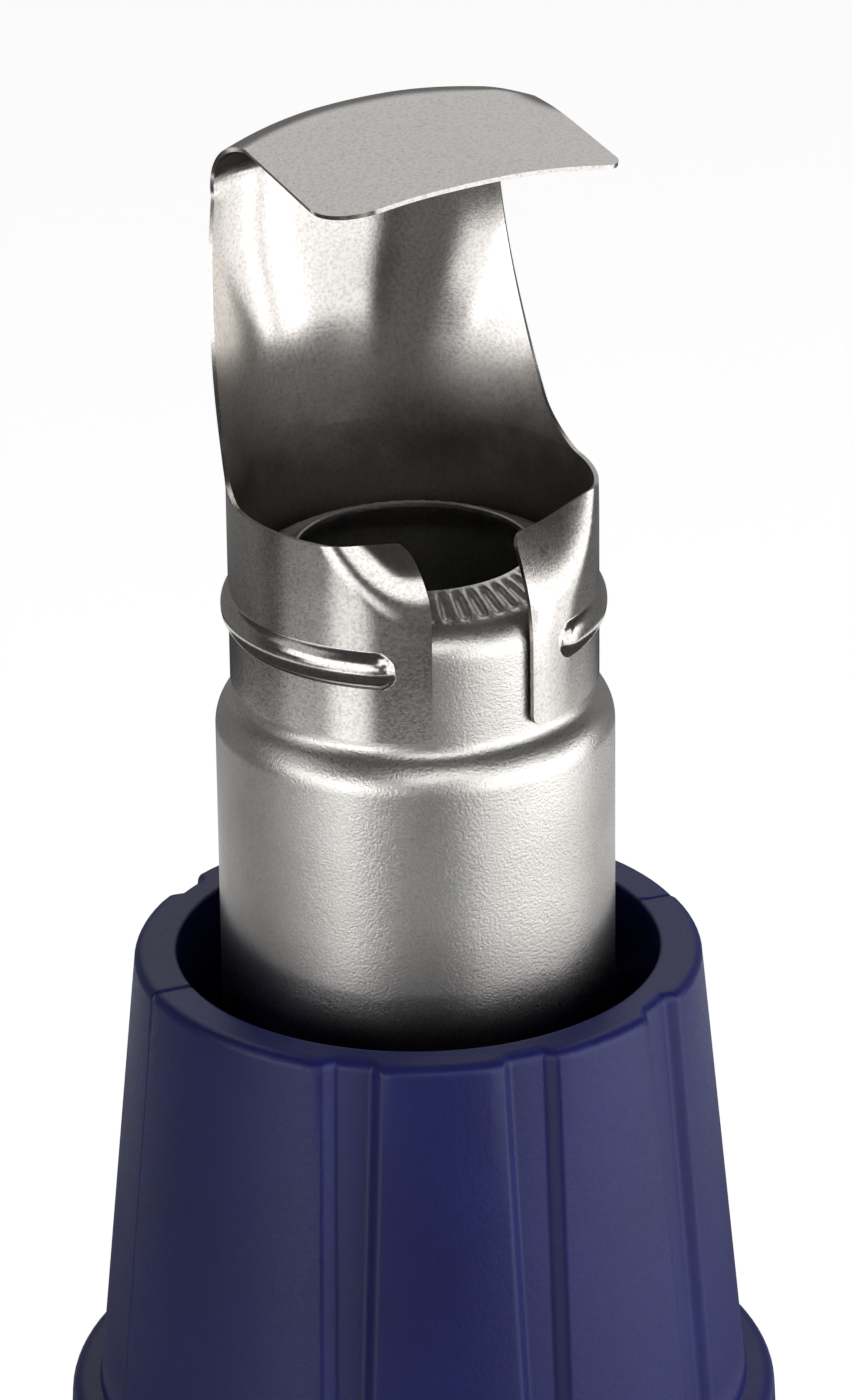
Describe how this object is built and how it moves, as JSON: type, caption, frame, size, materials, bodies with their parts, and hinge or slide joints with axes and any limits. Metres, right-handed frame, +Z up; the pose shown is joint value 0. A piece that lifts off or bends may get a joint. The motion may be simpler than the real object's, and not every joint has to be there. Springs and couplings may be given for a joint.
{
  "type": "embossing heat tool",
  "caption": "Inline hot-air embossing tool that stands on its rear end, with a steel nozzle tube, a clip-on curved reflector and a slide switch.",
  "frame": {"origin": "centre of the resting face at the tool's rear end", "axes": "+Z up the barrel towards the nozzle, -Y the side the reflector opens to, -X the switch side"},
  "size_m": [0.062, 0.062, 0.2669],
  "materials": {
    "reflector_sheet": "bright rolled stainless sheet, mottled by handling",
    "blasted_steel": "bead-blasted stainless steel, satin",
    "mica": "pressed mica board, dull",
    "resistance_wire": "oxidised resistance wire",
    "heater_ceramic": "unglazed technical ceramic",
    "brass_parts": "plain brass",
    "plated_steel": "bright zinc-plated steel",
    "black_moulding": "matte moulded plastic",
    "magnet_ceramic": "sintered ferrite",
    "armature_steel": "laminations and varnished copper winding",
    "navy_housing": "fine-grained matte moulding",
    "black_rubber": "soft matte rubber",
    "grey_slider": "satin moulded plastic",
    "board_laminate": "glass laminate with solder mask",
    "capacitor_case": "potted plastic case",
    "lead_insulation": "extruded wire insulation"
  },
  "bodies": {
    "housing": {"nozzle_tube": "blasted_steel", "mica_sleeve": "mica", "heater_core": "mica", "heater_coil": "resistance_wire", "heater_base": "heater_ceramic", "heater_terminals": "brass_parts", "thermal_cutout": "plated_steel", "tube_clamp_ring": "plated_steel", "tube_screws": "plated_steel", "air_guide": "black_moulding", "motor_shroud": "black_moulding", "motor_can": "plated_steel", "motor_magnets": "magnet_ceramic", "motor_bushes": "brass_parts", "motor_end_cap": "black_moulding", "motor_brushes": "brass_parts", "front_shell": "navy_housing", "back_shell": "navy_housing", "shell_screws": "plated_steel", "rear_cap": "black_moulding", "foot_ring": "black_rubber", "switch_body": "black_moulding", "circuit_board": "board_laminate", "rectifier_diodes": "black_moulding", "suppression_capacitor": "capacitor_case", "heater_leads": "lead_insulation", "motor_leads": "lead_insulation", "switch_leads": "lead_insulation", "cord_gland": "black_rubber", "cord_clamp": "black_moulding", "clamp_screws": "plated_steel"},
    "rotor": {"fan_wheel": "black_moulding", "armature": "armature_steel", "commutator": "brass_parts", "motor_shaft": "plated_steel"},
    "switch": {"switch_slider": "grey_slider", "switch_carriage": "brass_parts"},
    "reflector": {"reflector_nozzle": "reflector_sheet"}
  },
  "joints": [
    {"name": "reflector_turn", "type": "hinge", "parent": "housing", "child": "reflector", "pos_m": [0, 0, 0.225], "axis": [0, 0, 1], "continuous": true},
    {"name": "fan_spin", "type": "hinge", "parent": "housing", "child": "rotor", "pos_m": [0, 0, 0.08], "axis": [0, 0, 1], "continuous": true},
    {"name": "switch_slide", "type": "slide", "parent": "housing", "child": "switch", "axis": [0, 0, 1], "range_m": [0, 0.01]}
  ]
}
